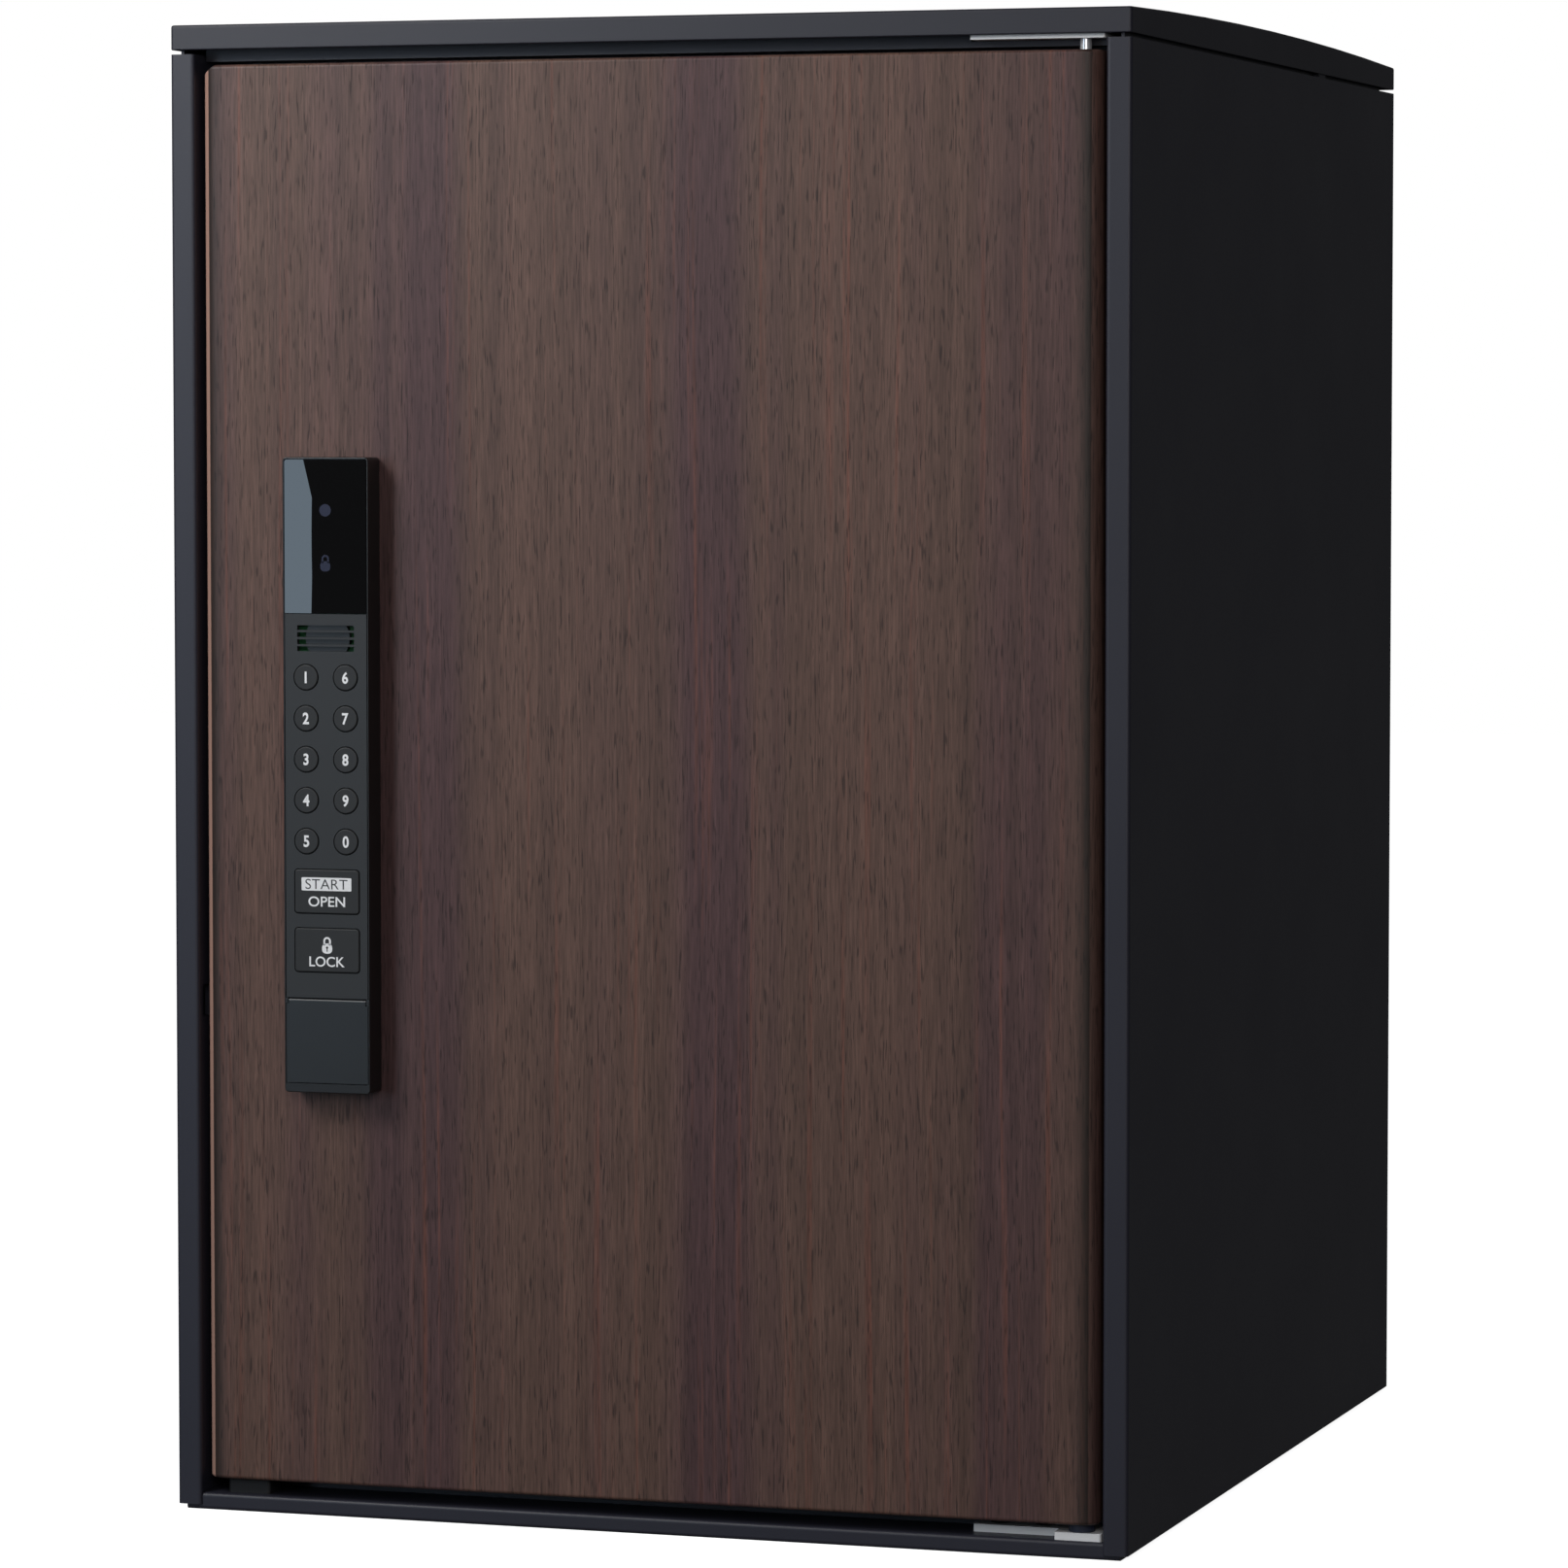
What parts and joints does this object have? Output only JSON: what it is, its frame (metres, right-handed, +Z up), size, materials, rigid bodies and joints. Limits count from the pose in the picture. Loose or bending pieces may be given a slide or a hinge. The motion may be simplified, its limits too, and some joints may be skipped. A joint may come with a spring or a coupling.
{
  "type": "parcel locker",
  "caption": "Front-opening home parcel locker: sheet-metal cabinet with arched roof cap, wood-film door on pin hinges, and a slim keypad lock unit.",
  "frame": {"origin": "middle of the footprint on the floor, under the cabinet's base pan", "axes": "+Z up, the door faces -Y, +X to the right seen from the front"},
  "size_m": [0.39, 0.4629, 0.59],
  "materials": {
    "cabinet_paint": "satin fine-texture powder coat",
    "roof_paint": "satin fine-texture powder coat",
    "rubber_mat": "matt, ribbed",
    "seal_rubber": "matt foam rubber",
    "stainless": "brushed",
    "chrome_pin": "polished",
    "zinc_screws": "zinc plated",
    "ferrite": "matt ferrite",
    "walnut_film": "steel sheet with a dark walnut film, satin",
    "liner_plastic": "fine moulded texture",
    "galvanised": "galvanised sheet",
    "bush_plastic": "self-lubricating plastic",
    "black_plastic": "fine texture",
    "cell_jacket": "plain jacket",
    "cable_jacket": "flat cable",
    "unit_grey": "fine texture",
    "display_gloss": "piano black",
    "board_green": "solder resist",
    "silicone": "silicone",
    "bolt_steel": "nickel plated",
    "brass": "machined"
  },
  "bodies": {
    "cabinet": {"base_pan": "cabinet_paint", "floor_runners": "cabinet_paint", "floor_panel": "cabinet_paint", "floor_mat": "rubber_mat", "side_panel_left": "cabinet_paint", "side_panel_right": "cabinet_paint", "back_panel": "cabinet_paint", "rear_rivets": "cabinet_paint", "top_panel": "cabinet_paint", "spacer_strips": "cabinet_paint", "roof_cap": "roof_paint", "cabinet_screws": "zinc_screws", "top_rail": "cabinet_paint", "hinge_plate_bottom": "stainless", "hinge_plate_top": "stainless", "hinge_pins": "chrome_pin", "door_gasket": "seal_rubber", "strike_plate": "stainless", "catch_magnet": "ferrite", "door_bumper": "seal_rubber"},
    "door": {"unit_gasket": "seal_rubber", "catch_plate": "stainless", "door_screws": "zinc_screws", "door_skin": "walnut_film", "door_liner": "liner_plastic", "battery_box": "liner_plastic", "door_stiffeners": "galvanised", "hinge_blocks": "galvanised", "lock_case": "galvanised", "lock_cover": "galvanised", "hinge_bushes": "bush_plastic", "corner_plug": "black_plastic", "unit_housing": "black_plastic", "speaker": "black_plastic", "battery_cells": "cell_jacket", "power_cable": "cable_jacket", "unit_faceplate": "unit_grey", "display_window": "display_gloss", "circuit_board": "board_green", "keypad_mat": "silicone", "drive_motor": "bolt_steel"},
    "bolt": {"lock_bolt": "bolt_steel"},
    "key": {"key_plug": "brass", "lock_pinion": "brass"},
    "drive_wheel": {"motor_gear": "brass"},
    "cover": {"key_cover": "unit_grey"},
    "battery_lid": {"battery_cover": "liner_plastic"},
    "button_1": {"key_1": "unit_grey"},
    "button_2": {"key_2": "unit_grey"},
    "button_3": {"key_3": "unit_grey"},
    "button_4": {"key_4": "unit_grey"},
    "button_5": {"key_5": "unit_grey"},
    "button_6": {"key_6": "unit_grey"},
    "button_7": {"key_7": "unit_grey"},
    "button_8": {"key_8": "unit_grey"},
    "button_9": {"key_9": "unit_grey"},
    "button_0": {"key_0": "unit_grey"},
    "button_start": {"key_start": "unit_grey"},
    "button_lock": {"key_lock": "unit_grey"}
  },
  "joints": [
    {"name": "door_swing", "type": "hinge", "parent": "cabinet", "child": "door", "pos_m": [0.175, -0.217, 0], "axis": [0, 0, 1], "range_deg": [0, 100]},
    {"name": "key_turn", "type": "hinge", "parent": "door", "child": "key", "pos_m": [-0.12535, -0.225, 0.18985], "axis": [0, -1, 0], "range_deg": [0, 90]},
    {"name": "bolt_slide", "type": "slide", "parent": "door", "child": "bolt", "axis": [-1, 0, 0], "range_m": [0, 0.00942]},
    {"name": "drive_turn", "type": "hinge", "parent": "door", "child": "drive_wheel", "pos_m": [-0.12535, -0.225, 0.1782], "axis": [0, -1, 0], "range_deg": [-97, 1]},
    {"name": "cover_flip", "type": "hinge", "parent": "door", "child": "cover", "pos_m": [-0.12535, -0.2364, 0.2053], "axis": [-1, 0, 0], "range_deg": [0, 95]},
    {"name": "battery_lid_off", "type": "slide", "parent": "door", "child": "battery_lid", "axis": [0, 1, 0], "range_m": [0, 0.04]},
    {"name": "press_1", "type": "slide", "parent": "door", "child": "button_1", "axis": [0, 1, 0], "range_m": [0, 0.001], "stiffness_N_per_m": 600},
    {"name": "press_2", "type": "slide", "parent": "door", "child": "button_2", "axis": [0, 1, 0], "range_m": [0, 0.001], "stiffness_N_per_m": 600},
    {"name": "press_3", "type": "slide", "parent": "door", "child": "button_3", "axis": [0, 1, 0], "range_m": [0, 0.001], "stiffness_N_per_m": 600},
    {"name": "press_4", "type": "slide", "parent": "door", "child": "button_4", "axis": [0, 1, 0], "range_m": [0, 0.001], "stiffness_N_per_m": 600},
    {"name": "press_5", "type": "slide", "parent": "door", "child": "button_5", "axis": [0, 1, 0], "range_m": [0, 0.001], "stiffness_N_per_m": 600},
    {"name": "press_6", "type": "slide", "parent": "door", "child": "button_6", "axis": [0, 1, 0], "range_m": [0, 0.001], "stiffness_N_per_m": 600},
    {"name": "press_7", "type": "slide", "parent": "door", "child": "button_7", "axis": [0, 1, 0], "range_m": [0, 0.001], "stiffness_N_per_m": 600},
    {"name": "press_8", "type": "slide", "parent": "door", "child": "button_8", "axis": [0, 1, 0], "range_m": [0, 0.001], "stiffness_N_per_m": 600},
    {"name": "press_9", "type": "slide", "parent": "door", "child": "button_9", "axis": [0, 1, 0], "range_m": [0, 0.001], "stiffness_N_per_m": 600},
    {"name": "press_0", "type": "slide", "parent": "door", "child": "button_0", "axis": [0, 1, 0], "range_m": [0, 0.001], "stiffness_N_per_m": 600},
    {"name": "press_start", "type": "slide", "parent": "door", "child": "button_start", "axis": [0, 1, 0], "range_m": [0, 0.001], "stiffness_N_per_m": 600},
    {"name": "press_lock", "type": "slide", "parent": "door", "child": "button_lock", "axis": [0, 1, 0], "range_m": [0, 0.001], "stiffness_N_per_m": 600}
  ],
  "couplings": [
    {"joint": "key_turn", "follows": "bolt_slide", "rad_per_m": 166.67},
    {"joint": "drive_turn", "follows": "bolt_slide", "rad_per_m": -178.57}
  ]
}
